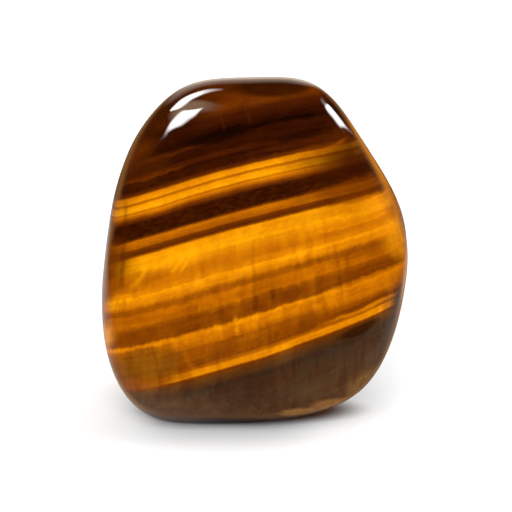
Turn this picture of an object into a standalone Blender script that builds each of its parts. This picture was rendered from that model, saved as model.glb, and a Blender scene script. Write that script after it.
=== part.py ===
"""Tumbled tiger's eye: one polished pebble that stands upright on a small worn flat.

The pebble is one convex solid. It has two broad faces, front and back, a rim of worn
flats all the way round, three bevels where the front meets the rim, and the flat that it
rests on. Every flat is a direction that it faces and a distance from a point inside the
stone, and they melt into each other as tumbling wears them together.

X runs across the front face, +Y points away from the front, +Z is up. Metres.
"""
import math

import bmesh
import bpy
import numpy as np

MM = 0.001
NAME = "tigers_eye_stone"

# The point inside the stone that distances are measured from, in mm above the flat it
# rests on. Its place across and back puts the whole stone's box in the middle of X and Y.
INSIDE_POINT = (0.04, 0.55, 16.2)

# A worn flat is (name, bearing, lean, distance). The bearing runs round the rim in
# degrees, 0 to the right and 90 up. The lean tips the flat out of the rim, in degrees,
# 90 straight to the front and -90 straight to the back. The distance is in mm.
RIM = [
    ("top", 91, 0, 18.6),
    ("top_left", 124, 0, 25.5),
    ("shoulder_left", 146, 0, 17.3),
    ("upper_left", 161, 0, 19.7),
    ("left", 173, 0, 15.0),
    ("lower_left", 206, 0, 17.3),
    ("foot_left", 248, 0, 27.5),
    ("underside", 274, 0, 17.2),
    ("foot_right", 306, 0, 16.4),
    ("lower_right", 346, 0, 14.9),
    ("right", 355, 0, 20.0),
    ("upper_right", 29, 0, 15.3),
    ("top_right", 59, 0, 29.0),
    ("under_front", 268, 38, 15.6),
    ("under_back", 270, -40, 15.6),
]
BROAD_FACES = [
    ("front", 90, 73, 8.2),
    ("back", 90, -80, 8.2),
]
BEVELS = [
    ("bevel_top_left", 128, 42, 13.7),
    ("bevel_top", 92, 48, 12.6),
    ("bevel_top_right", 46, 38, 13.6),
]

# How sharply flats meet: a higher number leaves less wear on the edge between them.
RIM_SHARPNESS = 11.0
EDGE_SHARPNESS = 4.5
BEVEL_SHARPNESS = 14.0

SURFACE_SUBDIVISIONS = 5

STONE_COLOUR = (0.33, 0.125, 0.012, 1.0)
STONE_ROUGHNESS = 0.12
STONE_METALLIC = 0.0


def facing(bearing, lean):
    """Unit vector that a flat faces, from its bearing round the rim and its lean."""
    b = math.radians(bearing)
    l = math.radians(lean)
    return (math.cos(b) * math.cos(l), -math.sin(l), math.sin(b) * math.cos(l))


def share(directions, flats):
    """For each direction and flat, how far out that flat's plane lies, as 1 / distance.

    The plane of a flat is at distance / cos(angle) along a direction, so its share is
    cos(angle) / distance, and nothing where the direction points away from the flat.
    """
    planes = np.array([np.array(facing(b, l)) / d for _, b, l, d in flats])
    return np.maximum(directions @ planes.T, 0.0)


def blend(shares, sharpness):
    """Power mean over the last axis: the nearest flat rules, and edges are worn round."""
    return (shares ** sharpness).sum(axis=-1) ** (1.0 / sharpness)


def stone_radius(directions):
    """Distance in mm from the inside point to the worn surface, for unit directions.

    The rim is one blend of its flats. The rim, the front and the back are blended more
    softly, and the bevels are cut into that more sharply. The flat underneath is a clean
    plane, INSIDE_POINT's height below.
    """
    rim = blend(share(directions, RIM), RIM_SHARPNESS)
    body = blend(np.column_stack([rim, share(directions, BROAD_FACES)]), EDGE_SHARPNESS)
    worn = blend(np.column_stack([body, share(directions, BEVELS)]), BEVEL_SHARPNESS)
    rest = np.maximum(-directions[:, 2], 0.0) / INSIDE_POINT[2]
    return 1.0 / np.maximum(worn, rest)


def stone_mesh():
    """A ball of even triangles, each corner moved straight out to the worn surface."""
    bm = bmesh.new()
    bmesh.ops.create_icosphere(bm, subdivisions=SURFACE_SUBDIVISIONS, radius=1.0)
    directions = np.array([corner.co[:] for corner in bm.verts])
    directions /= np.linalg.norm(directions, axis=1)[:, None]
    places = np.array(INSIDE_POINT) + directions * stone_radius(directions)[:, None]
    for corner, place in zip(bm.verts, places * MM):
        corner.co = place
    bmesh.ops.recalc_face_normals(bm, faces=bm.faces)
    mesh = bpy.data.meshes.new(NAME)
    bm.to_mesh(mesh)
    bm.free()
    mesh.shade_smooth()
    return mesh


def stone_material():
    """Polished quartz in tiger's-eye brown and gold."""
    material = bpy.data.materials.new("tigers_eye")
    material.use_nodes = True
    shader = material.node_tree.nodes["Principled BSDF"]
    shader.inputs["Base Color"].default_value = STONE_COLOUR
    shader.inputs["Roughness"].default_value = STONE_ROUGHNESS
    shader.inputs["Metallic"].default_value = STONE_METALLIC
    return material


def clear_scene():
    for old in list(bpy.data.objects):
        bpy.data.objects.remove(old, do_unlink=True)


def main():
    clear_scene()
    stone = bpy.data.objects.new(NAME, stone_mesh())
    stone.data.materials.append(stone_material())
    bpy.context.scene.collection.objects.link(stone)


main()
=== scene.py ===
# %% [markdown]
# # A tumbled tiger's eye
#
# Tiger's eye is quartz that grew through thin seams of parallel fibre and kept their silk. This
# stone has been tumbled until every broken corner was worn round, so it is glossy all over, and
# its gold and brown seams slant across it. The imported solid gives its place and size. It is
# loaded first, as a frame that nothing here may move.

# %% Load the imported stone
import math

import bpy
import numpy as np
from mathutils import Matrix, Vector


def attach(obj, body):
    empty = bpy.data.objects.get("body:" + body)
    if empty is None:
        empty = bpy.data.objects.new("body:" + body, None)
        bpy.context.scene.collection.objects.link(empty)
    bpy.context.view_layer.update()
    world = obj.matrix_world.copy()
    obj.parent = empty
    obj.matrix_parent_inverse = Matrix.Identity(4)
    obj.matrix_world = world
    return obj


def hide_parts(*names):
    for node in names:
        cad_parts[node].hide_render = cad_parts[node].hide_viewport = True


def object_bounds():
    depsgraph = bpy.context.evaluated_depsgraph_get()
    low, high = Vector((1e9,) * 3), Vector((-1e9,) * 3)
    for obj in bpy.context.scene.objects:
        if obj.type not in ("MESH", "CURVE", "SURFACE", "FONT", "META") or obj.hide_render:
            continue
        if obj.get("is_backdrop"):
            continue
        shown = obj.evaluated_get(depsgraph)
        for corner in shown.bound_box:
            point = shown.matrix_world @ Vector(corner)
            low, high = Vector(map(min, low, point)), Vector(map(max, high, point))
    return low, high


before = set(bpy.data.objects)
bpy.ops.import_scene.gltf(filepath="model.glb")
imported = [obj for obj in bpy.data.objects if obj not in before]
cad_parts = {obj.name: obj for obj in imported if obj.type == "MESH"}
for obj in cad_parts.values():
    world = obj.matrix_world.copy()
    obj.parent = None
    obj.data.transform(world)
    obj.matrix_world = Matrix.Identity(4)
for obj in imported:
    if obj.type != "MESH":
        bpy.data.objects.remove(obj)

MM = 0.001
STONE_NODE = "tigers_eye_stone"
CAD_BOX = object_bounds()

# %% [markdown]
# ## How a pebble wears
#
# A tumbled stone has no sharp corner, but it keeps the flats that it was broken with. A lump
# modelled by hand or with a subdivision surface would lose them. Here every flat is written
# down as the direction that it faces and its distance from a point inside, and a formula
# melts them together, so one number says how worn an edge is.
#
# A direction is a bearing round the rim, 0 to the right and 90 up, and a lean out of the rim,
# 90 to the front and -90 to the back. Twelve of the twenty flats have the solid's own values.
# The other eight differ by up to 0.7 mm, which is a finer fit than a collision shape needs.

# %% The worn flats
INSIDE_POINT = (0.04, 0.55, 16.2)
# name, bearing and lean in degrees, distance from the inside point in mm
RIM = [
    ("top", 91, 0, 18.9),
    ("top_left", 124, 0, 25.8),
    ("shoulder_left", 146, 0, 17.3),
    ("upper_left", 161, 0, 19.7),
    ("left", 173, 0, 15.0),
    ("lower_left", 206, 0, 17.3),
    ("foot_left", 248, 0, 27.5),
    ("underside", 274, 0, 17.0),
    ("foot_right", 306, 0, 15.85),
    ("lower_right", 346, 0, 14.95),
    ("right", 355, 0, 20.3),
    ("upper_right", 29, 0, 15.1),
    ("top_right", 59, 0, 29.0),
    ("under_front", 268, 38, 16.3),
    ("under_back", 270, -40, 15.6),
]
BROAD_FACES = [
    ("front", 90, 73, 8.2),
    ("back", 90, -80, 8.2),
]
BEVELS = [
    ("bevel_top_left", 128, 42, 13.7),
    ("bevel_top", 92, 48, 12.6),
    ("bevel_top_right", 46, 38, 13.6),
]
# How sharply flats meet: a higher number leaves less wear on the edge between them.
RIM_SHARPNESS = 11.0
EDGE_SHARPNESS = 4.5
BEVEL_SHARPNESS = 14.0
print(len(RIM + BROAD_FACES + BEVELS), "worn flats")

# %% From flats to one worn surface
def facing(bearing, lean):
    """Unit vector of a flat: its bearing turns it round the rim, its lean tips it forward."""
    turn = math.radians(bearing)
    tip = math.radians(lean)
    return (math.cos(turn) * math.cos(tip), -math.sin(tip), math.sin(turn) * math.cos(tip))


def share(directions, flats):
    """cos(angle to the flat's direction) / distance, for each direction and flat, never below 0."""
    planes = np.array([np.array(facing(bearing, lean)) / distance
                       for _, bearing, lean, distance in flats])
    return np.maximum(directions @ planes.T, 0.0)


def blend(shares, sharpness):
    """The sharpness-th root of the sum of the shares to that power: the nearest flat rules."""
    return (shares ** sharpness).sum(axis=-1) ** (1.0 / sharpness)


def worn_shares(directions):
    """1 / radius of the worn body: the rim, then front and back more softly, then bevels."""
    rim = blend(share(directions, RIM), RIM_SHARPNESS)
    body = blend(np.column_stack([rim, share(directions, BROAD_FACES)]), EDGE_SHARPNESS)
    return blend(np.column_stack([body, share(directions, BEVELS)]), BEVEL_SHARPNESS)


to_the_front = np.array([[0.0, -1.0, 0.0]])
print("from the inside point to the front:", round(1.0 / worn_shares(to_the_front)[0], 2), "mm")

# %% [markdown]
# ## The gloss
#
# Tumbling grit leaves a surface that is smooth to touch but never optically flat: a highlight
# on it wobbles. A bump map would be left behind when the mesh is used elsewhere, so the surface
# itself rises and falls by a few hundredths of a millimetre, in slow waves that cross.

# %% The slow waves of the polish
# direction across the stone, wavelength in mm, height in mm
POLISH_WAVES = [
    ((0.90, 0.20, 0.39), 9.0, 0.022),
    ((-0.30, 0.75, 0.59), 7.0, 0.016),
    ((0.15, -0.55, 0.82), 5.5, 0.012),
]


def polish(points):
    """Sum over the waves of height * sin(2 pi * distance along the wave / wavelength), in mm."""
    swell = np.zeros(len(points))
    for across, wavelength, height in POLISH_WAVES:
        swell += height * np.sin(points @ np.array(across) * (2.0 * math.pi / wavelength))
    return swell


print("the polish is", round(sum(height for _, _, height in POLISH_WAVES), 3), "mm uneven at most")

# %% [markdown]
# ## A closed surface of two parameters
#
# The surface is a function of two angles: the rise from straight down to straight up, and the
# turn once round. The grid's rings share their first and last column, and one point closes
# each pole, so the stone is a single closed skin. Every point is worked out at once.

# %% The grid of directions and its faces
RINGS = 190
COLUMNS = 320
LEAST = 1e-9            # keeps a division away from zero


def ball_directions(rings, columns):
    """Unit directions (cos rise * cos turn, cos rise * sin turn, sin rise), with both poles."""
    rises = np.linspace(-math.pi / 2.0, math.pi / 2.0, rings + 2)[1:-1]
    turns = np.arange(columns) * (2.0 * math.pi / columns)
    rise, turn = np.meshgrid(rises, turns, indexing="ij")
    ring_points = np.stack(
        [np.cos(rise) * np.cos(turn), np.cos(rise) * np.sin(turn), np.sin(rise)], axis=-1
    )
    return np.vstack([(0.0, 0.0, -1.0), ring_points.reshape(-1, 3), (0.0, 0.0, 1.0)])


def ball_faces(rings, columns):
    """Quads between neighbouring rings and a fan of triangles at each pole, facing out."""
    here = np.arange(rings * columns).reshape(rings, columns) + 1
    beside = np.roll(here, -1, axis=1)
    quads = np.stack([here[:-1], beside[:-1], beside[1:], here[1:]], axis=-1).reshape(-1, 4)
    bottom = np.stack([np.zeros(columns, int), beside[0], here[0]], axis=-1)
    top = np.stack([np.full(columns, rings * columns + 1), here[-1], beside[-1]], axis=-1)
    return quads.tolist() + bottom.tolist() + top.tolist()


def stone_points(directions):
    """Inside point + direction * radius, waved by the polish and cut off level underneath."""
    centre = np.array(INSIDE_POINT)
    radius = 1.0 / worn_shares(directions)
    radius += polish(directions * radius[:, None])
    level = centre[2] / np.maximum(-directions[:, 2], LEAST)
    return centre + directions * np.minimum(radius, level)[:, None]


print("grid:", RINGS * COLUMNS + 2, "points")

# %% Build the polished stone
def put(name, data):
    """An object in the scene that holds a mesh, a light or a camera."""
    made = bpy.data.objects.new(name, data)
    bpy.context.scene.collection.objects.link(made)
    return made


def make_stone():
    """The worn surface as one closed mesh, at the origin and to full size."""
    mesh = bpy.data.meshes.new("polished_stone")
    points = stone_points(ball_directions(RINGS, COLUMNS)) * MM
    mesh.from_pydata(points.tolist(), [], ball_faces(RINGS, COLUMNS))
    mesh.shade_smooth()
    mesh.validate()
    return put("polished_stone", mesh)


stone = make_stone()
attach(stone, "root")
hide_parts(STONE_NODE)
print("stone:", len(stone.data.polygons), "faces,",
      [round(side / MM, 2) for side in stone.dimensions], "mm")

# %% [markdown]
# ## Colour that goes through the stone
#
# The seams are sheets, not paint: they run through the whole stone and come out on every side.
# So the colour is a function of place inside the stone, read from Object coordinates, and the
# first group turns a place into a height across the sheets. Small helpers keep the node trees
# short to read.

# %% Helpers for node trees
def feed(tree, sockets, sources):
    """Link each socket to an output or set it to a value; sources maps its name or number."""
    for socket, source in sources.items():
        if isinstance(source, bpy.types.NodeSocket):
            tree.links.new(source, sockets[socket])
        else:
            sockets[socket].default_value = source


def place(tree, kind, inputs=None, **settings):
    """Add a node with its settings, and feed its inputs."""
    made = tree.nodes.new(kind)
    for name, value in settings.items():
        setattr(made, name, value)
    feed(tree, made.inputs, inputs or {})
    return made


def calc(tree, operation, *values, clamp=False):
    """One Math node, as a formula's step."""
    inputs = dict(enumerate(values))
    return place(tree, "ShaderNodeMath", inputs, operation=operation, use_clamp=clamp).outputs[0]


def times(tree, *values):
    """The product of all the values."""
    product = values[0]
    for value in values[1:]:
        product = calc(tree, "MULTIPLY", product, value)
    return product


def plus(tree, *values):
    """The sum of all the values."""
    total = values[0]
    for value in values[1:]:
        total = calc(tree, "ADD", total, value)
    return total


def minus(tree, value, taken):
    """A value less another."""
    return calc(tree, "SUBTRACT", value, taken)


# %% Helpers for vectors
def vector(tree, operation, *values):
    """One Vector Math node; its result is Vector for most operations and Value for a length."""
    inputs = dict(enumerate(values))
    outputs = place(tree, "ShaderNodeVectorMath", inputs, operation=operation).outputs
    return outputs["Value"] if operation in ("LENGTH", "DISTANCE", "DOT_PRODUCT") else outputs["Vector"]


def combine(tree, x, y, z):
    """A vector of three values."""
    return place(tree, "ShaderNodeCombineXYZ", {0: x, 1: y, 2: z}).outputs[0]


def split(tree, whole):
    """The three values of a vector."""
    return place(tree, "ShaderNodeSeparateXYZ", {0: whole}).outputs


def stretch(tree, whole, scale):
    """A vector times a scale on each axis."""
    return vector(tree, "MULTIPLY", whole, scale)


def lengthen(tree, whole, factor):
    """A vector times one factor."""
    inputs = {0: whole, "Scale": factor}
    return place(tree, "ShaderNodeVectorMath", inputs, operation="SCALE").outputs[0]


# %% Helpers for patterns and groups
def ramp(tree, value, low, high, to_low=0.0, to_high=1.0):
    """A smooth step of value from low to high."""
    inputs = {"Value": value, "From Min": low, "From Max": high,
              "To Min": to_low, "To Max": to_high}
    return place(tree, "ShaderNodeMapRange", inputs, interpolation_type="SMOOTHSTEP").outputs[0]


def noise(tree, where, per_unit, detail=2.0, roughness=0.5):
    """Noise around 0.5, with so many blotches per unit of the vector."""
    inputs = {"Vector": where, "Scale": per_unit, "Detail": detail, "Roughness": roughness}
    return place(tree, "ShaderNodeTexNoise", inputs).outputs["Fac"]


FLOAT = "NodeSocketFloat"
VECTOR = "NodeSocketVector"
COLOUR = "NodeSocketColor"


def new_group(name, inputs, outputs):
    """A shader node group with named sockets; inputs are (name, kind, default)."""
    tree = bpy.data.node_groups.new(name, "ShaderNodeTree")
    for socket, kind, value in inputs:
        made = tree.interface.new_socket(socket, in_out="INPUT", socket_type=kind)
        made.default_value = value
    for socket, kind in outputs:
        tree.interface.new_socket(socket, in_out="OUTPUT", socket_type=kind)
    return tree, tree.nodes.new("NodeGroupInput").outputs, tree.nodes.new("NodeGroupOutput").inputs


def use_group(tree, group, inputs):
    """Place a group in a tree with its own values, and give its outputs."""
    return place(tree, "ShaderNodeGroup", inputs, node_tree=group).outputs


def describe(group):
    """Print a group's name and its sockets."""
    print(group.name + ":", ", ".join(socket.name for socket in group.interface.items_tree))


# %% Group: the lie of the layers
# The seams' edges are ragged in the middle of the stack: (height where clean, where ragged), mm.
RAGGED_UNDER = (20.5, 17.0)
RAGGED_OVER = (8.0, 10.5)
KINKS_PER_MM = (0.05, 0.05, 0.45)
WANDERS_PER_MM = 0.16
FIBRE_ENDS_PER_MM = 1.6
FIBRE_END_STRETCH = (1.0, 1.0, 0.2)


def layers_group():
    """Height across the sheets, in mm.

    height = (z - rise x + dip y - curl x^3 - sag x^2) / (1 - fan x) + bow x^2 (z - middle),
    plus a slow wander and the ragged ends of the fibres. Bed is (x, y, height). Grain is the
    same with x sheared and kinked along the fibres, so that fibres run up its third axis.
    """
    tree, given, result = new_group(
        "layers",
        [("Point", VECTOR, (0, 0, 0)), ("Rise", FLOAT, 0.373), ("Dip", FLOAT, 0.252),
         ("Fan", FLOAT, 0.0051), ("Curl", FLOAT, 0.000128), ("Sag", FLOAT, 0.00084),
         ("Bow", FLOAT, 0.0006), ("Middle", FLOAT, 16.0), ("Wander", FLOAT, 0.35),
         ("Clean Edge", FLOAT, 0.08), ("Ragged Edge", FLOAT, 0.5),
         ("Fibre Shear", FLOAT, 0.03), ("Kink", FLOAT, 0.7)],
        [("Height", FLOAT), ("Bed", VECTOR), ("Grain", VECTOR)],
    )
    x, y, z = split(tree, given["Point"])
    square = times(tree, x, x)
    fall = plus(tree, times(tree, x, given["Rise"]), times(tree, square, x, given["Curl"]),
                times(tree, square, given["Sag"]))
    level = minus(tree, plus(tree, z, times(tree, y, given["Dip"])), fall)
    spread = minus(tree, 1.0, times(tree, x, given["Fan"]))
    bowed = times(tree, square, given["Bow"], minus(tree, z, given["Middle"]))
    even = plus(tree, calc(tree, "DIVIDE", level, spread), bowed)
    kink_at = stretch(tree, combine(tree, x, y, even), KINKS_PER_MM)
    kink = times(tree, noise(tree, kink_at, 1.0), given["Kink"])
    across = plus(tree, x, times(tree, even, given["Fibre Shear"]), kink)
    slow = minus(tree, noise(tree, given["Point"], WANDERS_PER_MM, detail=3.0, roughness=0.55), 0.5)
    first_grain = stretch(tree, combine(tree, across, y, even), FIBRE_END_STRETCH)
    ends = minus(tree, noise(tree, first_grain, FIBRE_ENDS_PER_MM, detail=3.0, roughness=0.6), 0.5)
    ragged = times(tree, ramp(tree, even, *RAGGED_UNDER), ramp(tree, even, *RAGGED_OVER))
    change = minus(tree, given["Ragged Edge"], given["Clean Edge"])
    reach = plus(tree, given["Clean Edge"], times(tree, ragged, change))
    height = plus(tree, even, times(tree, slow, given["Wander"]), times(tree, ends, reach))
    feed(tree, result, {"Height": height, "Bed": combine(tree, x, y, height),
                        "Grain": combine(tree, across, y, height)})
    return tree


layers = layers_group()
describe(layers)

# %% [markdown]
# ## The seams
#
# Each seam is a band with a lower edge and a tone at its top and bottom. It could be an image,
# but an image would not run through the stone. Eighteen named tones do for all of it, from
# pitch black-brown to bright gold. A Color Ramp holds 32 stops, so three ramps share the stack.

# %% Tones, as screen values from 0 to 255
TONES = {
    "pitch": (20, 5, 1),
    "umber": (38, 10, 1),
    "bark": (50, 15, 1),
    "rust": (74, 26, 3),
    "russet": (89, 37, 3),
    "brown": (118, 52, 2),
    "toffee": (138, 66, 2),
    "amber": (162, 82, 2),
    "caramel": (184, 97, 2),
    "honey": (206, 114, 3),
    "marigold": (224, 131, 4),
    "gold": (240, 149, 5),
    "bright": (250, 163, 5),
    "iron": (60, 40, 24),
    "iron_lip": (104, 58, 14),
    "fawn": (128, 72, 8),
    "clay": (98, 64, 34),
    "tan": (152, 102, 52),
}
TONE_LEVEL = 0.54       # how much darker the tones are made for the studio's light


def linear(tone, level=TONE_LEVEL):
    """A tone as the linear colour that shaders use, by the sRGB curve, times a level."""
    screen = np.array(TONES[tone]) / 255.0
    rgb = np.where(screen <= 0.04045, screen / 12.92, ((screen + 0.055) / 1.055) ** 2.4)
    return (*(rgb * level).tolist(), 1.0)


print(len(TONES), "tones")

# %% The stack of seams
STACK_TOP = 35.0        # height in mm of the first seam's upper edge
SEAM_EDGE = 0.17        # how wide the change from seam to seam is, in mm
# name, height of the lower edge in mm, tone at the top, tone at the bottom
UPPER_SEAMS = [
    ("cap", 32.7, "russet", "brown"),
    ("cap_fade", 31.9, "brown", "rust"),
    ("smoky_cap", 31.0, "rust", "bark"),
    ("umber_seam", 30.5, "bark", "umber"),
    ("pitch_seam", 30.05, "pitch", "pitch"),
    ("dark_cap", 28.65, "bark", "bark"),
    ("rust_thread", 28.15, "rust", "rust"),
    ("dark_under_rust", 27.15, "bark", "bark"),
    ("brown_lip", 26.64, "rust", "brown"),
    ("gold_thread", 26.0, "marigold", "gold"),
    ("parting", 25.72, "caramel", "honey"),
    ("gold_ribbon", 25.1, "gold", "bright"),
    ("second_parting", 24.88, "honey", "honey"),
    ("third_line", 24.62, "marigold", "honey"),
    ("ribbon_foot", 24.28, "caramel", "toffee"),
    ("ribbon_edge", 23.9, "brown", "rust"),
]
MIDDLE_SEAMS = [
    ("dark_ribbon", 22.42, "bark", "bark"),
    ("thread_lip", 22.17, "russet", "toffee"),
    ("amber_thread", 21.5, "honey", "caramel"),
    ("thread_edge", 21.1, "caramel", "brown"),
    ("dark_thread", 20.75, "brown", "russet"),
    ("gold_lip", 20.5, "toffee", "amber"),
    ("great_gold", 19.0, "gold", "bright"),
    ("gold_fade", 17.95, "gold", "honey"),
    ("honey_seam", 17.3, "honey", "honey"),
    ("honey_rise", 16.5, "honey", "marigold"),
    ("gold_seam", 15.8, "gold", "marigold"),
    ("honey_fade", 15.2, "marigold", "caramel"),
    ("toffee_line", 14.65, "amber", "amber"),
    ("amber_seam", 13.3, "caramel", "caramel"),
    ("brown_fade", 12.7, "amber", "toffee"),
    ("brown_seam", 11.65, "toffee", "toffee"),
]
LOWER_SEAMS = [
    ("brown_rise", 11.35, "toffee", "caramel"),
    ("honey_band", 10.75, "marigold", "honey"),
    ("caramel_band", 9.9, "honey", "caramel"),
    ("brown_band", 8.1, "amber", "toffee"),
    ("amber_rise", 7.55, "toffee", "caramel"),
    ("last_gold", 6.88, "marigold", "marigold"),
    ("brown_edge", 6.5, "toffee", "brown"),
    ("iron_lip", 5.2, "iron_lip", "iron"),
    ("ironstone", -4.0, "iron", "clay"),
]
print(len(UPPER_SEAMS + MIDDLE_SEAMS + LOWER_SEAMS), "seams")


# %% Group: the seams' colours
DULL_GREY = 0.028 * TONE_LEVEL      # a little lighter than rust
GOLD_GREY = 0.42 * TONE_LEVEL       # a little lighter than gold


def tint(tree, factor, colour, other, blend_type="MIX"):
    """Mix two colours by a factor. A Mix node has its colour sockets at 6 and 7, and 2 is out."""
    inputs = {0: factor, 6: colour, 7: other}
    return place(tree, "ShaderNodeMix", inputs, data_type="RGBA", blend_type=blend_type).outputs[2]


def golden(tree, colour):
    """A smooth step of a colour's grey: 0 where it is as dark as rust, 1 from about gold."""
    grey = place(tree, "ShaderNodeRGBToBW", {0: colour}).outputs[0]
    return ramp(tree, grey, DULL_GREY, GOLD_GREY)


def seam_ramp(tree, height, top, stack):
    """A ramp with two stops a seam, half an edge inside its two borders."""
    bottom = stack[-1][1]
    span = top - bottom
    position = calc(tree, "DIVIDE", minus(tree, height, bottom), span, clamp=True)
    colours = place(tree, "ShaderNodeValToRGB", {0: position})
    stops = []
    upper = top
    for _, lower, tone_top, tone_bottom in stack:
        stops.append(((upper - SEAM_EDGE / 2 - bottom) / span, tone_top))
        stops.append(((lower + SEAM_EDGE / 2 - bottom) / span, tone_bottom))
        upper = lower
    elements = colours.color_ramp.elements
    for _ in range(len(stops) - 2):
        elements.new(0.5)
    for element, (where, tone) in zip(elements, sorted(stops)):
        element.position = where
        element.color = linear(tone)
    return colours.outputs["Color"]


def seams_group():
    """Colour of the stone at a height across its sheets, and how golden it is."""
    tree, given, result = new_group(
        "seams", [("Height", FLOAT, 0.0)], [("Colour", COLOUR), ("Gold", FLOAT)]
    )
    height = given["Height"]
    colour = seam_ramp(tree, height, STACK_TOP, UPPER_SEAMS)
    for above, stack in ((UPPER_SEAMS, MIDDLE_SEAMS), (MIDDLE_SEAMS, LOWER_SEAMS)):
        border = above[-1][1]
        below = ramp(tree, height, border + SEAM_EDGE / 2, border - SEAM_EDGE / 2)
        colour = tint(tree, below, colour, seam_ramp(tree, height, border, stack))
    feed(tree, result, {"Colour": colour, "Gold": golden(tree, colour)})
    return tree


seams = seams_group()
describe(seams)

# %% [markdown]
# ## Silk and mottling
#
# The fibres stand across the seams, and they are what makes the stone silky: light and dark
# streaks, short pleats and fine threads. Along the seams run even finer lines, and the brown
# seams are blotched and flecked. All of these are noise, drawn out along fibres or seams.

# %% Group: the silk
ALONG_FIBRE = (1.0, 1.0, 0.16)
ALONG_SEAM = (0.05, 0.05, 1.0)
WIDE_BAND = (0.3, 0.7)          # the part of a noise that is stretched from 0 to 1
PLEAT_BAND = (0.35, 0.65)


def silk_group():
    """Streaks, pleats and threads across the seams and lines along them, from 0 to 1."""
    tree, given, result = new_group(
        "silk",
        [("Grain", VECTOR, (0, 0, 0)), ("Streaks per mm", FLOAT, 0.5),
         ("Pleats per mm", FLOAT, 1.3), ("Threads per mm", FLOAT, 4.0),
         ("Lines per mm", FLOAT, 2.2)],
        [("Streaks", FLOAT), ("Pleats", FLOAT), ("Threads", FLOAT), ("Lines", FLOAT)],
    )
    across = stretch(tree, given["Grain"], ALONG_FIBRE)
    along = stretch(tree, given["Grain"], ALONG_SEAM)
    streaks = noise(tree, across, given["Streaks per mm"], roughness=0.6)
    pleats = noise(tree, across, given["Pleats per mm"], detail=1.0)
    threads = noise(tree, across, given["Threads per mm"], roughness=0.6)
    lines = noise(tree, along, given["Lines per mm"], detail=3.0, roughness=0.6)
    feed(tree, result, {"Streaks": ramp(tree, streaks, *WIDE_BAND),
                        "Pleats": ramp(tree, pleats, *PLEAT_BAND),
                        "Threads": ramp(tree, threads, *WIDE_BAND),
                        "Lines": ramp(tree, lines, *WIDE_BAND)})
    return tree


silk = silk_group()
describe(silk)

# %% Group: mottling
BLOTCH_STRETCH = (0.6, 0.6, 1.3)
BLOTCH_BAND = (0.38, 0.62)
FLECK_BAND = (0.35, 0.65)


def mottle_group():
    """Blotches drawn out along the seams, and small flecks, from 0 to 1."""
    tree, given, result = new_group(
        "mottle",
        [("Bed", VECTOR, (0, 0, 0)), ("Blotches per mm", FLOAT, 0.55), ("Flecks per mm", FLOAT, 3.0)],
        [("Blotches", FLOAT), ("Flecks", FLOAT)],
    )
    drawn = stretch(tree, given["Bed"], BLOTCH_STRETCH)
    blotches = noise(tree, drawn, given["Blotches per mm"], detail=4.0, roughness=0.6)
    flecks = noise(tree, drawn, given["Flecks per mm"], detail=3.0, roughness=0.6)
    feed(tree, result, {"Blotches": ramp(tree, blotches, *BLOTCH_BAND),
                        "Flecks": ramp(tree, flecks, *FLECK_BAND)})
    return tree


mottle = mottle_group()
describe(mottle)

# %% Mottle the brown seams
BLOTCH_STRENGTH = 0.28
FLECK_STRENGTH = 0.35
STRONG_FLECKS = (0.3, 1.0)
FLECKED_UNDER = (28.0, 27.0)    # (height where clean, where flecked), mm
FLECKED_OVER = (15.0, 21.0)


def mottled(tree, colour, gold, height, blotches, flecks):
    """Rust blotches and russet flecks, by their strength times how far the seam is from gold."""
    dull = minus(tree, 1.0, gold)
    colour = tint(tree, times(tree, blotches, dull, BLOTCH_STRENGTH), colour, linear("rust"))
    zone = times(tree, ramp(tree, height, *FLECKED_UNDER), ramp(tree, height, *FLECKED_OVER))
    grains = times(tree, ramp(tree, flecks, *STRONG_FLECKS), dull, zone, FLECK_STRENGTH)
    return tint(tree, grains, colour, linear("russet"))


# %% [markdown]
# ## Where the seams fade
#
# No seam of a real stone keeps one tone from end to end: gold goes brown where the fibre was
# crushed or stained. Soft patches, placed by where they lie across the stone and by their
# height in the stack, stain the seams. Most are short across the sheets and long along them.
# A few of the patches, and the spots that follow them, are painted light and shade instead.

# %% Group: a soft patch
PATCH_CORE = 0.5        # the share of the way out at which a patch begins to fade


def patch_group():
    """1 in the middle of an ellipsoid and 0 outside it, with a soft edge."""
    tree, given, result = new_group(
        "soft_patch",
        [("Bed", VECTOR, (0, 0, 0)), ("Centre", VECTOR, (0, 0, 0)), ("Size", VECTOR, (1, 1, 1))],
        [("Patch", FLOAT)],
    )
    offset = vector(tree, "SUBTRACT", given["Bed"], given["Centre"])
    distance = vector(tree, "LENGTH", vector(tree, "DIVIDE", offset, given["Size"]))
    feed(tree, result, {"Patch": ramp(tree, distance, 1.0, PATCH_CORE)})
    return tree


soft_patch = patch_group()
describe(soft_patch)
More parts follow.
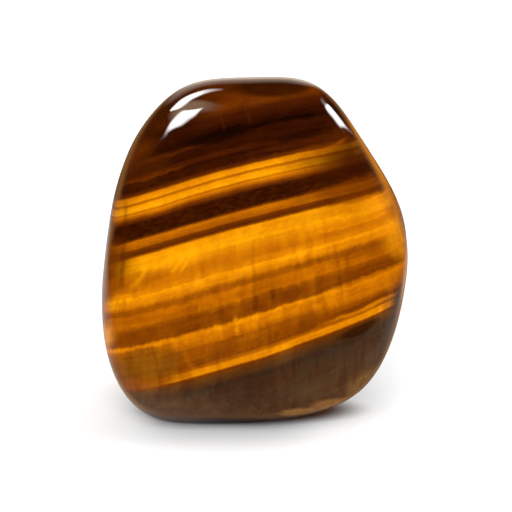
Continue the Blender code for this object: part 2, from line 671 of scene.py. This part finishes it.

# %% Stains in the seams, and painted light and shade on the surface
# name, (x, y, height) of the middle, half sizes, tone, strength
STAINS = [
    ("ribbons_dim", (10.5, -4.0, 25.6), (9.5, 8.0, 2.9), "brown", 0.5),
    ("ribbons_go_brown", (14.0, -4.0, 25.2), (10.0, 8.0, 3.6), "rust", 0.95),
    ("dark_ribbon_widens", (9.5, -4.0, 23.7), (7.0, 8.0, 0.75), "bark", 0.6),
    ("thread_goes_brown", (13.0, -4.0, 22.0), (11.0, 8.0, 1.1), "brown", 0.8),
    ("gold_starts_low", (12.0, -4.0, 20.6), (7.0, 6.0, 0.65), "brown", 0.85),
    ("honey_great_gold", (11.0, -4.0, 19.7), (6.5, 6.0, 1.1), "honey", 0.6),
    ("gold_dips_right", (9.5, -5.0, 18.0), (7.0, 6.0, 0.5), "marigold", 0.7),
    ("brown_dip_right", (10.5, -5.0, 14.45), (5.0, 5.0, 0.6), "brown", 0.3),
    ("band_fades_right", (10.5, -5.0, 11.4), (6.0, 6.0, 0.5), "caramel", 0.7),
    ("honey_at_right", (9.0, -5.0, 9.9), (7.5, 6.0, 1.0), "honey", 0.6),
    ("brown_above_thread", (10.0, -5.0, 8.6), (7.5, 6.0, 0.42), "brown", 0.8),
    ("thread_at_right", (10.0, -5.0, 8.05), (7.5, 6.0, 0.4), "honey", 0.9),
    ("dark_over_rust", (6.5, -3.0, 28.5), (8.0, 6.0, 0.5), "umber", 0.85),
    ("rust_sinks", (6.5, -3.0, 27.65), (9.0, 6.0, 0.5), "rust", 0.9),
    ("rust_at_right", (11.0, -3.0, 28.0), (5.5, 7.0, 2.0), "russet", 0.6),
    ("brown_shoulder", (-12.6, 1.0, 32.4), (4.5, 6.0, 5.0), "brown", 0.6),
    ("dark_shoulder", (-8.5, -1.0, 33.2), (6.5, 6.0, 2.4), "umber", 0.7),
    ("rust_at_left", (-10.8, -2.5, 28.9), (3.4, 5.0, 1.8), "russet", 0.4),
    ("rust_thread_left", (-9.5, -3.0, 29.7), (5.5, 5.0, 0.28), "russet", 0.8),
    ("rust_thread_below", (-10.5, -3.0, 28.2), (5.0, 5.0, 0.26), "brown", 0.6),
    ("pitch_patch", (-3.4, -3.0, 30.2), (4.4, 5.0, 0.9), "pitch", 0.75),
    # painted shade down the left side, where the silk turns away from the light
    ("shaded_left_strip", (-16.3, -2.0, 19.6), (4.3, 12.0, 5.6), "brown", 0.85),
    ("left_shadow", (-13.5, -3.0, 19.6), (2.8, 6.0, 4.0), "brown", 0.7),
    ("gold_at_left", (-15.5, -3.0, 12.6), (3.0, 8.0, 2.2), "gold", 0.9),
    ("amber_low_left", (-11.4, -8.0, 10.6), (4.0, 5.0, 0.7), "toffee", 0.6),
    ("amber_left", (-12.5, -6.0, 18.1), (5.0, 5.0, 1.3), "amber", 0.6),
    ("iron_right_edge", (15.0, -3.0, 7.2), (4.2, 7.0, 2.4), "iron", 0.95),
    # painted light through the thin right edge
    ("lit_right_edge", (15.5, -2.0, 14.5), (4.6, 6.0, 4.2), "gold", 0.8),
    ("frosted_corner", (-11.3, -9.0, 8.8), (5.0, 4.0, 2.7), "fawn", 0.85),
    ("line_fades", (-12.0, -8.0, 7.3), (8.0, 6.0, 0.9), "toffee", 0.8),
    ("pitch_under_thread", (10.2, -8.5, 5.9), (2.6, 3.0, 0.8), "umber", 0.75),
]
# name, (x, y, z) of the middle, half sizes, tone, strength
PAINTED_LIGHT_AND_SHADE = [
    # painted light from the floor on the foot, the lower rims and the lip
    ("floor_lit_foot", (-1.0, -4.0, -1.0), (18.0, 12.0, 6.5), "clay", 0.9),
    ("floor_lit_iron_left", (-8.5, -6.0, 2.5), (11.0, 8.0, 4.6), "clay", 0.75),
    ("floor_lit_right_rim", (11.0, -5.0, 5.5), (3.5, 8.0, 3.5), "tan", 0.45),
    ("floor_lit_lip", (5.2, -8.2, 3.1), (3.6, 3.0, 1.0), "tan", 1.0),
    ("floor_lit_lip_right", (7.8, -8.6, 4.1), (2.8, 3.0, 1.1), "tan", 1.0),
    # a painted dark reflection just under the crown's pale rim
    ("dark_reflection_under_crown", (2.0, 0.3, 33.8), (5.5, 3.0, 0.9), "umber", 0.75),
    # painted shade on the sole, under the stone
    ("shaded_sole", (-1.5, -5.0, 0.2), (10.5, 8.0, 2.7), "umber", 1.0),
]


def stained(tree, colour, where, stains):
    """Lay each patch's tone over the colour, by its patch times its strength; the patches are stains
    and painted light and shade.
    """
    for _, centre, size, tone, strength in stains:
        inputs = {"Bed": where, "Centre": centre, "Size": size}
        patch = use_group(tree, soft_patch, inputs)["Patch"]
        colour = tint(tree, times(tree, patch, strength), colour, linear(tone))
    return colour


print(len(STAINS), "stains and", len(PAINTED_LIGHT_AND_SHADE), "spots of painted light and shade")

# %% [markdown]
# ## Pleats and healed cracks
#
# A few single lines cross the seams: cracks that healed with rust, and pleats where a bundle
# of fibre bends and catches the light. Noise can't put a line in one place, so each of these
# is drawn as the distance from a bowed line.

# %% Group: a hairline
THIN_END = 0.3          # strength left at both ends of a line
FULL_BULGE = 0.5        # how much of the bulge has to be there for its full strength


def hairline_group():
    """1 on a line from Start to End, seen from the front, and 0 beyond its Width.

    The line runs in x and z and goes straight back through the stone. Along it t goes from 0
    to 1, and it bows aside by Bow * 4 t (1 - t).
    """
    tree, given, result = new_group(
        "hairline",
        [("Point", VECTOR, (0, 0, 0)), ("Start", VECTOR, (0, 0, 0)), ("End", VECTOR, (0, 0, 1)),
         ("Bow", FLOAT, 0.0), ("Width", FLOAT, 0.1)],
        [("Line", FLOAT)],
    )
    flat = stretch(tree, given["Point"], (1.0, 0.0, 1.0))
    along = vector(tree, "SUBTRACT", given["End"], given["Start"])
    offset = vector(tree, "SUBTRACT", flat, given["Start"])
    covered = vector(tree, "DOT_PRODUCT", offset, along)
    squared = vector(tree, "DOT_PRODUCT", along, along)
    t = calc(tree, "DIVIDE", covered, squared, clamp=True)
    aside = vector(tree, "NORMALIZE", vector(tree, "CROSS_PRODUCT", along, (0.0, 1.0, 0.0)))
    bulge = times(tree, 4.0, t, minus(tree, 1.0, t))
    bowed = lengthen(tree, aside, times(tree, bulge, given["Bow"]))
    nearest = vector(tree, "ADD", lengthen(tree, along, t), bowed)
    distance = vector(tree, "DISTANCE", offset, nearest)
    taper = ramp(tree, bulge, 0.0, FULL_BULGE, THIN_END, 1.0)
    line = times(tree, ramp(tree, distance, given["Width"], 0.0), taper)
    feed(tree, result, {"Line": line})
    return tree


hairline = hairline_group()
describe(hairline)

# %% Pleats and cracks
# name, x and z of both ends, bow to one side, width, tone, strength
HAIRLINES = [
    ("left_crack", (-12.6, 23.6), (-13.1, 15.3), 0.05, 0.45, "rust", 0.4),
    ("dark_cross", (7.7, 20.4), (8.6, 14.7), 0.0, 0.3, "rust", 0.25),
    ("right_pleat", (9.0, 19.9), (9.1, 16.0), 0.0, 0.4, "brown", 0.25),
    ("middle_pleat", (-0.2, 20.8), (0.0, 13.9), 0.0, 0.3, "brown", 0.25),
    ("dark_spot", (1.7, 16.0), (1.8, 14.9), 0.0, 0.4, "rust", 0.45),
    ("lower_spot", (0.1, 15.4), (0.1, 13.9), 0.0, 0.4, "rust", 0.45),
    ("frost_edge", (-7.4, 11.1), (-6.2, 8.3), 0.0, 0.45, "caramel", 0.5),
    ("frost_crack", (-9.8, 10.2), (-9.3, 7.0), 0.0, 0.35, "brown", 0.55),
    ("red_line_left", (-4.0, 32.5), (-3.0, 30.4), 0.15, 0.16, "russet", 0.5),
    ("red_line_right", (-1.3, 32.6), (-0.4, 31.0), 0.15, 0.16, "russet", 0.5),
    ("outer_finger", (-10.4, 18.8), (-12.0, 15.9), 0.3, 0.4, "bright", 0.35),
    ("middle_finger", (-6.9, 19.5), (-8.2, 17.4), 0.15, 0.3, "bright", 0.5),
    ("inner_finger", (-6.2, 19.6), (-7.4, 17.4), 0.15, 0.25, "bright", 0.5),
    ("bright_pleat", (-1.9, 13.4), (-1.8, 11.8), 0.0, 0.35, "gold", 0.5),
    ("bright_cross", (4.2, 17.8), (4.3, 16.2), 0.0, 0.35, "honey", 0.4),
    ("amber_tail", (5.5, 28.3), (9.0, 29.0), 0.0, 0.3, "amber", 0.6),
]


def crossed(tree, colour, where):
    """Lay each hairline's tone over the colour, by its line times its strength."""
    for _, (x, z), (end_x, end_z), bow, width, tone, strength in HAIRLINES:
        inputs = {"Point": where, "Start": (x, 0.0, z), "End": (end_x, 0.0, end_z),
                  "Bow": bow, "Width": width}
        line = use_group(tree, hairline, inputs)["Line"]
        colour = tint(tree, times(tree, line, strength), colour, linear(tone))
    return colour


print(len(HAIRLINES), "hairlines")

# %% [markdown]
# ## The stone's material
#
# Real chatoyance comes from fibres under a clear surface, which shine while the polish above
# them mirrors the room. Here the gold seams are a little metallic and satin, and a clear coat
# lies over the whole stone. Specular under the coat is off, so the coat alone gives sharp lights.

# %% Light and dark in the silk
STREAK_WEIGHT = 0.14
LINE_WEIGHT = 0.15
THREAD_WEIGHT = 0.06
PLEAT_WEIGHT = 0.26
FLECK_WEIGHT = 0.10
DARKEST = 0.75
GOLD_LIFT = 0.47
WARMTH = 1.5                    # a higher power turns the dark streaks redder
CLUSTERS_PER_MM = 0.14          # pleats come in clusters
CLUSTER_BAND = (0.4, 0.6)
CLUSTER_LEAST = 0.2


def silk_shade(tree, point, height, gold, masks, flecks):
    """Red is lift * shade, and green and blue are lift * shade to the power of WARMTH.

    Shade is DARKEST plus each mask times its weight, and lift is 1 + GOLD_LIFT * gold.
    """
    streaks, pleats, threads, lines = masks
    low = ramp(tree, height, *RAGGED_UNDER)
    clusters = noise(tree, point, CLUSTERS_PER_MM, detail=1.0)
    cluster = ramp(tree, clusters, *CLUSTER_BAND, CLUSTER_LEAST, 1.0)
    shade = plus(tree, times(tree, streaks, STREAK_WEIGHT), times(tree, lines, LINE_WEIGHT),
                 times(tree, threads, THREAD_WEIGHT), times(tree, pleats, low, cluster, PLEAT_WEIGHT),
                 times(tree, flecks, FLECK_WEIGHT), DARKEST)
    lift = plus(tree, times(tree, gold, GOLD_LIFT), 1.0)
    red = times(tree, lift, shade)
    green = times(tree, lift, calc(tree, "POWER", shade, WARMTH))
    return place(tree, "ShaderNodeCombineColor", {0: red, 1: green, 2: green}).outputs[0]


# %% Light that comes through the thin edge
EDGE_TURN = (0.50, 0.85)        # how far the surface has to turn away from the eye
EDGE_STRENGTH = 0.85
EDGE_LEVEL = 0.8
SOLE = (1.8, 4.0)               # heights above the floor in mm; below them no light comes through
LIT_TURN = (0.60, 0.85)
LIT_FROM_X = (6.0, 10.0)        # in mm, so only the right edge is lit
LIT_OVER = (6.0, 9.0)
LIT_UNDER = (31.5, 29.0)
LIT_STRENGTH = 0.8
LIT_LEVEL = 0.85


def lit_edge(tree, colour, point, height):
    """Painted rim light: at least tan where the surface turns away, and marigold down the right-hand
    side.
    """
    turned = place(tree, "ShaderNodeLayerWeight", {"Blend": 0.5}).outputs["Facing"]
    x, _, z = split(tree, point)
    thin = times(tree, ramp(tree, turned, *EDGE_TURN, 0.0, EDGE_STRENGTH), ramp(tree, z, *SOLE))
    colour = tint(tree, thin, colour, linear("tan", EDGE_LEVEL), "LIGHTEN")
    lit = times(tree, ramp(tree, turned, *LIT_TURN), ramp(tree, x, *LIT_FROM_X),
                ramp(tree, height, *LIT_OVER), ramp(tree, z, *LIT_UNDER), LIT_STRENGTH)
    return tint(tree, lit, colour, linear("marigold", LIT_LEVEL))


# %% The tiger's-eye material
NUDGES_PER_MM = 0.6
NUDGE = (1.2, 1.2, 0.5)         # how far in mm noise moves the stains, from end to end
CRACK_NUDGE = (0.3, 0.3, 0.3)   # the share of it by which noise moves the cracks
SHEEN = 0.35                    # how metallic the gold is
SATIN = (0.38, 0.5)             # roughness under the coat, along the threads
THREAD_STRENGTH = 0.15
THREAD_DEPTH = 0.05 * MM
COAT = {"Coat Weight": 1.0, "Coat Roughness": 0.03, "Coat IOR": 1.54}


def tigers_eye():
    """Seams, then mottling, stains, painted light and shade and cracks, then silk and painted edge
    light, under a clear coat.
    """
    material = bpy.data.materials.new("tigers_eye")
    material.use_nodes = True
    tree = material.node_tree
    shader = tree.nodes["Principled BSDF"]
    where = place(tree, "ShaderNodeTexCoord").outputs["Object"]
    point = stretch(tree, where, (1.0 / MM, 1.0 / MM, 1.0 / MM))
    height, bed, grain = use_group(tree, layers, {"Point": point})[:3]
    colour, gold = use_group(tree, seams, {"Height": height})[:2]
    masks = use_group(tree, silk, {"Grain": grain})[:4]
    blotches, flecks = use_group(tree, mottle, {"Bed": bed})[:2]
    colour = mottled(tree, colour, gold, height, blotches, flecks)
    drift = place(tree, "ShaderNodeTexNoise", {"Vector": point, "Scale": NUDGES_PER_MM})
    middle = tuple(-reach / 2.0 for reach in NUDGE)
    nudge = vector(tree, "MULTIPLY_ADD", drift.outputs["Color"], NUDGE, middle)
    colour = stained(tree, colour, vector(tree, "ADD", bed, nudge), STAINS)
    # painted light and shade on the surface, laid over the stains
    colour = stained(tree, colour, point, PAINTED_LIGHT_AND_SHADE)
    gold = golden(tree, colour)
    colour = crossed(tree, colour, vector(tree, "MULTIPLY_ADD", nudge, CRACK_NUDGE, point))
    shade = silk_shade(tree, point, height, gold, masks, flecks)
    colour = lit_edge(tree, tint(tree, 1.0, colour, shade, "MULTIPLY"), point, height)
    threads = masks[2]
    relief = {"Height": threads, "Strength": THREAD_STRENGTH, "Distance": THREAD_DEPTH}
    feed(tree, shader.inputs, {
        "Base Color": colour,
        "Metallic": times(tree, gold, SHEEN),
        "Roughness": ramp(tree, threads, 0.0, 1.0, *SATIN),
        "Normal": place(tree, "ShaderNodeBump", relief).outputs[0],
        "Specular IOR Level": 0.0,
        **COAT,
    })
    return material


stone.data.materials.append(tigers_eye())
print("material:", len(stone.data.materials[0].node_tree.nodes), "nodes")

# %% [markdown]
# ## The studio
#
# A glossy stone looks like the room it stands in. A pale floor that sweeps up behind it gives
# the pale line along its edges, a dark room in front keeps its face rich, and small bright
# lamps draw the highlights. A flat floor with a wall would show its corner as a line in the
# gloss, so here a quarter circle joins the two.

# %% The sweep
# in metres
FLOOR_HALF_WIDTH = 1.6
FLOOR_FRONT = -1.6
WALL_AT = 0.75
WALL_HEIGHT = 0.62
SWEEP_RADIUS = 0.12
SWEEP_POINTS = 17


def make_sweep():
    """A profile carried across: flat floor, a quarter circle, then a wall."""
    angle = np.linspace(0.0, math.pi / 2.0, SWEEP_POINTS)
    bend_y = WALL_AT - SWEEP_RADIUS + SWEEP_RADIUS * np.sin(angle)
    bend_z = SWEEP_RADIUS - SWEEP_RADIUS * np.cos(angle)
    profile_y = np.concatenate([[FLOOR_FRONT], bend_y, [WALL_AT]])
    profile_z = np.concatenate([[0.0], bend_z, [WALL_HEIGHT]])
    count = len(profile_y)
    left = np.column_stack([np.full(count, -FLOOR_HALF_WIDTH), profile_y, profile_z])
    right = left * np.array([-1.0, 1.0, 1.0])
    step = np.arange(count - 1)
    faces = np.stack([step, step + count, step + count + 1, step + 1], axis=-1)
    mesh = bpy.data.meshes.new("studio_sweep")
    mesh.from_pydata(np.vstack([left, right]).tolist(), [], faces.tolist())
    mesh.shade_smooth()
    return put("studio_sweep", mesh)


sweep = make_sweep()
print("sweep:", [round(side, 2) for side in sweep.dimensions], "m")

# %% [markdown]
# ## A floor with two looks
#
# A white floor would be mirrored all round the stone and wash its colour out, and a dark one
# would look wrong behind it. Light Path tells the two apart. The camera sees white paper, with
# a warm dark shade in the gap under the stone. The gloss sees pools of light on a dark floor.

# %% The floor in the gloss
# Each edge of a pool is (where it is dark, where it is full), in metres.
CLOSE_BY = (0.030, 0.010)
CLOSE_LEVEL = 0.05
LEFT_NEAR = (0.002, -0.012)
LEFT_FAR = (-0.170, -0.060)
LEFT_FRONT = (-0.025, 0.005)
LEFT_BACK = (0.085, 0.045)
LEFT_LEVEL = 0.28
RIGHT_NEAR = (0.015, 0.040)
RIGHT_FRONT = (-0.040, 0.010)
RIGHT_REACH = (0.100, 0.040)
RIGHT_LEVEL = 0.30
DIM_RIGHT_NEAR = (0.000, 0.030)
DIM_RIGHT_BACK = (0.020, -0.010)
DIM_RIGHT_LEVEL = 0.06
WALL_FROM = (0.10, 0.25)
WALL_SLANT = (0.5, 0.2)         # sideways distance over distance behind the stone
WALL_LEVEL = 0.3
BASE_LEVEL = 0.008
NEAREST_BEHIND = 0.01


def pools_of_light(tree, where):
    """The sum of the pools, each a level times its edges, as a grey."""
    x, y, _ = split(tree, where)
    far = vector(tree, "LENGTH", where)
    close = times(tree, ramp(tree, far, *CLOSE_BY), CLOSE_LEVEL)
    left = times(tree, ramp(tree, x, *LEFT_NEAR), ramp(tree, x, *LEFT_FAR),
                 ramp(tree, y, *LEFT_FRONT), ramp(tree, y, *LEFT_BACK), LEFT_LEVEL)
    right = times(tree, ramp(tree, x, *RIGHT_NEAR), ramp(tree, y, *RIGHT_FRONT),
                  ramp(tree, far, *RIGHT_REACH), RIGHT_LEVEL)
    dim_right = times(tree, ramp(tree, x, *DIM_RIGHT_NEAR), ramp(tree, y, *DIM_RIGHT_BACK),
                      DIM_RIGHT_LEVEL)
    behind = calc(tree, "MAXIMUM", y, NEAREST_BEHIND)
    slant = calc(tree, "DIVIDE", calc(tree, "ABSOLUTE", x), behind)
    wall = times(tree, ramp(tree, y, *WALL_FROM), ramp(tree, slant, *WALL_SLANT), WALL_LEVEL)
    level = plus(tree, close, left, right, dim_right, BASE_LEVEL, wall)
    return place(tree, "ShaderNodeCombineColor", {0: level, 1: level, 2: level}).outputs[0]


# %% The floor in the camera
PAPER_WHITE = (0.86, 0.86, 0.86, 1.0)
GAP_PER_METRE = (94.0, 250.0, 0.0)      # 1 / the half sizes of the dark gap, in x and y
GAP_OFFSET = (0.04, -0.10, 0.0)         # moves its middle the other way, as a share of them
GAP_EDGE = (1.2, 0.7)
GAP_STRENGTH = 0.97
GAP_LEVEL = 0.25


def shaded_paper(tree, where):
    """White paper, with a painted warm shadow, an ellipse, in the gap under the stone."""
    from_foot = vector(tree, "LENGTH", vector(tree, "MULTIPLY_ADD", where, GAP_PER_METRE, GAP_OFFSET))
    gap = times(tree, ramp(tree, from_foot, *GAP_EDGE), GAP_STRENGTH)
    return tint(tree, gap, PAPER_WHITE, linear("toffee", GAP_LEVEL))


def paper():
    """White paper to the eye and pools of light to the gloss."""
    material = bpy.data.materials.new("studio_paper")
    material.use_nodes = True
    tree = material.node_tree
    tree.nodes.clear()
    where = place(tree, "ShaderNodeTexCoord").outputs["Object"]
    seen = place(tree, "ShaderNodeBsdfDiffuse", {"Color": shaded_paper(tree, where)})
    mirrored = place(tree, "ShaderNodeBsdfDiffuse", {"Color": pools_of_light(tree, where)})
    rays = place(tree, "ShaderNodeLightPath")
    mix = place(tree, "ShaderNodeMixShader", {0: rays.outputs["Is Glossy Ray"],
                                              1: seen.outputs[0], 2: mirrored.outputs[0]})
    place(tree, "ShaderNodeOutputMaterial", {"Surface": mix.outputs[0]})
    return material


sweep.data.materials.append(paper())
sweep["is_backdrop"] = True
print("paper:", len(sweep.data.materials[0].node_tree.nodes), "nodes")

# %% [markdown]
# ## Light for the colour
#
# Under the clear coat the stone is lit by an even room and two broad suns. None of them is
# seen in the gloss. That keeps the light on the colour apart from the shape of the highlights,
# so either can be changed alone.

# %% The soft room and the suns
ROOM_LEVEL = 0.80


def soft_room(brightness):
    """An even glow on matt surfaces, white behind the stage and unseen in the gloss."""
    world = bpy.data.worlds.new("soft_room")
    bpy.context.scene.world = world
    world.use_nodes = True
    world.cycles_visibility.glossy = False
    tree = world.node_tree
    glow = tree.nodes["Background"]
    rays = place(tree, "ShaderNodeLightPath")
    level = place(tree, "ShaderNodeMix", {"Factor": rays.outputs["Is Camera Ray"],
                                          "A": brightness, "B": 1.0})
    feed(tree, glow.inputs, {"Color": (1.0, 1.0, 1.0, 1.0), "Strength": level.outputs[0]})


def soft_sun(name, towards, strength, spread):
    """A distant light from a direction, spread degrees wide; it isn't seen in the gloss."""
    lamp = bpy.data.lights.new(name, "SUN")
    lamp.energy = strength
    lamp.angle = math.radians(spread)
    light = put(name, lamp)
    light.rotation_mode = "QUATERNION"
    light.rotation_quaternion = Vector(towards).to_track_quat("Z", "Y")
    light.visible_glossy = False
    print(name + ":", strength, "W/m2,", spread, "degrees wide")


soft_room(ROOM_LEVEL)
soft_sun("front_sun", towards=(-0.14, -0.87, 0.48), strength=3.2, spread=40)
soft_sun("side_sun", towards=(0.80, 0.05, 0.55), strength=1.2, spread=40)

# %% [markdown]
# ## Lights that show as highlights
#
# On a polished stone a highlight is a picture of a lamp, bent by the stone, so a square lamp
# gives a square patch. Here each lamp is a glowing ribbon between two edges, which are given as
# directions from the stone, so it can be long, pointed and soft-edged. A wide, dim one behind
# the stone is the pale line over its crown.

# %% What the ribbons glow with
def glow_material(radiance, colour):
    """Light of one colour, as bright as the glow times a radiance, and otherwise clear."""
    material = bpy.data.materials.new("lamp_glow")
    material.use_nodes = True
    tree = material.node_tree
    tree.nodes.clear()
    glow = place(tree, "ShaderNodeAttribute", attribute_name="glow").outputs["Fac"]
    light = place(tree, "ShaderNodeEmission", {"Color": (*colour, 1.0),
                                               "Strength": times(tree, glow, radiance)})
    clear = place(tree, "ShaderNodeBsdfTransparent")
    both = place(tree, "ShaderNodeAddShader", {0: light.outputs[0], 1: clear.outputs[0]})
    place(tree, "ShaderNodeOutputMaterial", {"Surface": both.outputs[0]})
    return material


# %% Directions and curves
CURVE_STEPS = 6         # points from one corner of a curve to the next


def direction(bearing, rise):
    """(sin b cos r, cos b cos r, sin r) for a bearing b from straight behind and a rise r."""
    across = math.cos(math.radians(rise))
    turned = math.radians(bearing)
    return (math.sin(turned) * across, math.cos(turned) * across, math.sin(math.radians(rise)))


def curve_through(corners):
    """Catmull-Rom: 0.5 (2 b + (c - a) t + (2 a - 5 b + 4 c - d) t^2 + (3 b - a - 3 c + d) t^3)."""
    corners = np.asarray(corners, dtype=float)
    before = 2.0 * corners[0] - corners[1]
    after = 2.0 * corners[-1] - corners[-2]
    padded = np.concatenate([[before], corners, [after]])
    a, b, c, d = (padded[k:len(padded) - 3 + k, None] for k in range(4))
    t = (np.arange(CURVE_STEPS) / CURVE_STEPS)[None, :, None]
    bends = (2.0 * a - 5.0 * b + 4.0 * c - d) * t ** 2 + (3.0 * b - a - 3.0 * c + d) * t ** 3
    points = 0.5 * (2.0 * b + (c - a) * t + bends)
    return np.concatenate([points.reshape(-1, corners.shape[1]), corners[-1:]])


# %% Glowing ribbons
LAMP_DISTANCE = 0.35    # metres
SOFT_EDGE = 0.32        # the share of a ribbon's width over which it fades, at each edge
WHITE = (1.0, 1.0, 1.0)


def ribbon_lamp(name, aim, upper, lower, glow, radiance, colour=WHITE):
    """A ribbon from an upper edge to a lower edge, bright inside and fading at both."""
    upper_edge = curve_through([direction(*corner) for corner in upper])
    lower_edge = curve_through([direction(*corner) for corner in lower])
    along = np.clip(curve_through(np.array(glow)[:, None]), 0.0, 1.0)
    across = np.array([0.0, SOFT_EDGE, 1.0 - SOFT_EDGE, 1.0])[None, :, None]
    rows = upper_edge[:, None] * (1.0 - across) + lower_edge[:, None] * across
    points = np.array(aim) + LAMP_DISTANCE * rows
    index = np.arange(len(along) * 4).reshape(-1, 4)
    faces = np.stack([index[:-1, :-1], index[1:, :-1], index[1:, 1:], index[:-1, 1:]], axis=-1)
    mesh = bpy.data.meshes.new(name)
    mesh.from_pydata(points.reshape(-1, 3).tolist(), [], faces.reshape(-1, 4).tolist())
    level = along * np.array([0.0, 1.0, 1.0, 0.0])
    mesh.attributes.new("glow", "FLOAT", "POINT").data.foreach_set("value", level.ravel())
    mesh.materials.append(glow_material(radiance, colour))
    lamp = put(name, mesh)
    lamp.visible_camera = False
    lamp.visible_diffuse = False
    lamp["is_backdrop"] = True
    print(name + ":", len(mesh.polygons), "faces, radiance", radiance)


# %% The five lamps
# The aims are in metres: the points that the directions start from.
STONE_AIM = (0.0, 0.0, 0.030)
LEFT_AIM = (-0.007, 0.0, 0.0318)
RIGHT_AIM = (0.0075, 0.0, 0.0308)
# upper and lower are corners of (bearing, rise) in degrees, and glow goes from corner to corner
ribbon_lamp(
    "backdrop", STONE_AIM,
    upper=[(-64, 44), (-52, 54), (-30, 64), (-8, 68), (12, 67), (26, 64), (36, 58), (42, 52)],
    lower=[(-54, 28), (-44, 20), (-28, 12), (-12, 2), (4, 0), (16, 4), (26, 14), (32, 26)],
    glow=[0.0, 0.6, 1.0, 1.0, 1.0, 1.0, 0.6, 0.0], radiance=1.8, colour=(1.0, 0.90, 0.76),
)
ribbon_lamp(
    "arc_lamp", LEFT_AIM,
    upper=[(-71, 39), (-70, 42), (-67, 47), (-65, 55), (-60, 63), (-47, 70), (-35, 77)],
    lower=[(-77, 41), (-88, 49), (-92, 55), (-90, 60), (-89, 66), (-80, 75), (-62, 81)],
    glow=[0.4, 1.0, 1.0, 1.0, 0.8, 0.35, 0.04], radiance=30.0,
)
ribbon_lamp(
    "lens_lamp", LEFT_AIM,
    upper=[(-87, 33), (-94, 38), (-93, 40), (-91, 42), (-91, 45), (-94, 51), (-104, 56), (-117, 61)],
    lower=[(-94, 35), (-102, 41), (-101, 42), (-106, 45), (-115, 49), (-121, 54), (-125, 58),
           (-126, 65)],
    glow=[0.0, 0.03, 0.25, 0.8, 1.0, 1.0, 1.0, 0.6], radiance=30.0,
)
ribbon_lamp(
    "edge_lamp", RIGHT_AIM,
    upper=[(52, 33), (57, 33), (59, 31), (57, 28), (56, 26), (55, 22), (52, 17), (46, 11), (34, 2)],
    lower=[(65, 42), (72, 41), (73, 38), (75, 37), (76, 35), (74, 32), (70, 27), (62, 22), (48, 12)],
    glow=[0.0, 0.08, 0.2, 1.0, 1.0, 1.0, 0.8, 0.2, 0.0], radiance=22.0,
)
ribbon_lamp(
    "glow_lamp", LEFT_AIM,
    upper=[(-72, 37), (-78, 44), (-82, 54), (-92, 64), (-114, 71), (-140, 73), (-158, 71)],
    lower=[(-94, 42), (-102, 47), (-110, 53), (-120, 58), (-132, 61), (-146, 64), (-158, 66)],
    glow=[0.0, 0.8, 1.0, 1.0, 0.8, 0.25, 0.0], radiance=3.4, colour=(1.0, 0.70, 0.46),
)

# %% [markdown]
# ## The camera
#
# From close by, a wide lens makes the near side of a stone swell. This camera stands well back
# and looks a little down, with a long lens that lets the stone fill the picture. The plain
# Standard view keeps the tones as they were chosen.

# %% The camera
CAMERA_RISE = 20.0              # degrees
CAMERA_DISTANCE = 0.450         # metres
AIM = (0.0001, 0.0, 0.0165)     # metres
SENSOR_WIDTH = 36.0             # mm
FRAME_PIXELS = 512
PIXELS_PER_MM = 10.1


def make_camera():
    """A camera CAMERA_DISTANCE from the aim, CAMERA_RISE degrees above it and in front."""
    rise = math.radians(CAMERA_RISE)
    frame_width = FRAME_PIXELS / PIXELS_PER_MM * MM
    lens = bpy.data.cameras.new("camera")
    lens.sensor_width = SENSOR_WIDTH
    lens.lens = SENSOR_WIDTH * CAMERA_DISTANCE / frame_width
    made = put("camera", lens)
    made.location = (AIM[0], AIM[1] - CAMERA_DISTANCE * math.cos(rise),
                     AIM[2] + CAMERA_DISTANCE * math.sin(rise))
    made.rotation_euler = (math.pi / 2.0 - rise, 0.0, 0.0)
    return made


bpy.context.scene.camera = make_camera()
bpy.context.scene.view_settings.view_transform = "Standard"
print("lens:", round(bpy.context.scene.camera.data.lens, 1), "mm")

# %% Write the sizes and finish
visual_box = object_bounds()
for name, box in (("solid", CAD_BOX), ("dressed", visual_box)):
    print(name + ":", [round((high - low) / MM, 2) for low, high in zip(*box)], "mm")
